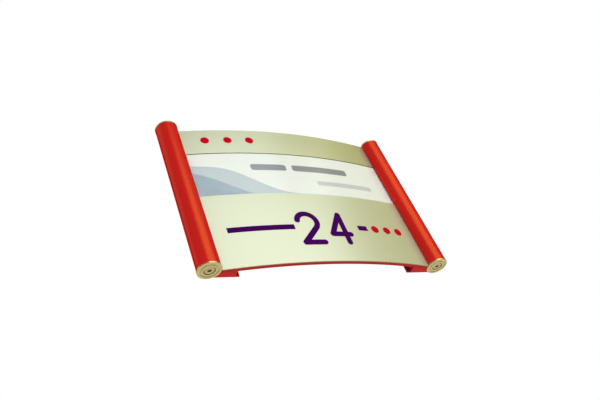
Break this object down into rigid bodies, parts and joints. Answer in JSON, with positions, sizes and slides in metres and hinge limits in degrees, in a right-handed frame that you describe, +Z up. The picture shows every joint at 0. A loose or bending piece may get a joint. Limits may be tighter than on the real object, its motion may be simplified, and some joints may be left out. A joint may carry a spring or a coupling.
{
  "type": "entrance sign",
  "caption": "Bowed wall sign: round side rails on feet hold a curved back panel and slide-in header, name window and number panels.",
  "frame": {"origin": "centre of the wall-screw pattern, on the wall plane at the back of the feet", "axes": "+X to the reader's right, +Y into the wall, +Z up along the rails"},
  "size_m": [0.2346, 0.0197, 0.158],
  "materials": {
    "red_anodised": "satin red anodised",
    "champagne": "satin champagne anodised",
    "pale_gold": "turned, pale gold anodised",
    "screw_steel": "zinc plated, yellow tint",
    "plug_brass": "turned",
    "purple_film": "cut vinyl film",
    "red_film": "cut vinyl film",
    "card_paper": "printed paper card",
    "clear_lens": "clear sheet"
  },
  "bodies": {
    "frame": {"left_rail": "red_anodised", "right_rail": "red_anodised", "back_panel": "red_anodised", "lower_left_cap": "pale_gold", "lower_right_cap": "pale_gold", "upper_left_cap": "pale_gold", "upper_right_cap": "pale_gold", "lower_left_screw": "screw_steel", "lower_right_screw": "screw_steel", "upper_left_screw": "screw_steel", "upper_right_screw": "screw_steel", "lower_left_plug": "plug_brass", "lower_right_plug": "plug_brass", "upper_left_plug": "plug_brass", "upper_right_plug": "plug_brass"},
    "number_module": {"number_panel": "champagne", "number_digits": "purple_film", "number_bars": "purple_film", "number_dots": "red_film"},
    "name_module": {"name_card": "card_paper", "name_lens": "clear_lens"},
    "header_module": {"header_panel": "champagne", "header_dots": "red_film"}
  },
  "joints": [
    {"name": "number_slide", "type": "slide", "parent": "frame", "child": "number_module", "axis": [0, 0, 1], "range_m": [0, 0.165]},
    {"name": "name_slide", "type": "slide", "parent": "number_module", "child": "name_module", "axis": [0, 0, 1], "range_m": [0, 0.09]},
    {"name": "header_slide", "type": "slide", "parent": "name_module", "child": "header_module", "axis": [0, 0, 1], "range_m": [0, 0.04]}
  ]
}
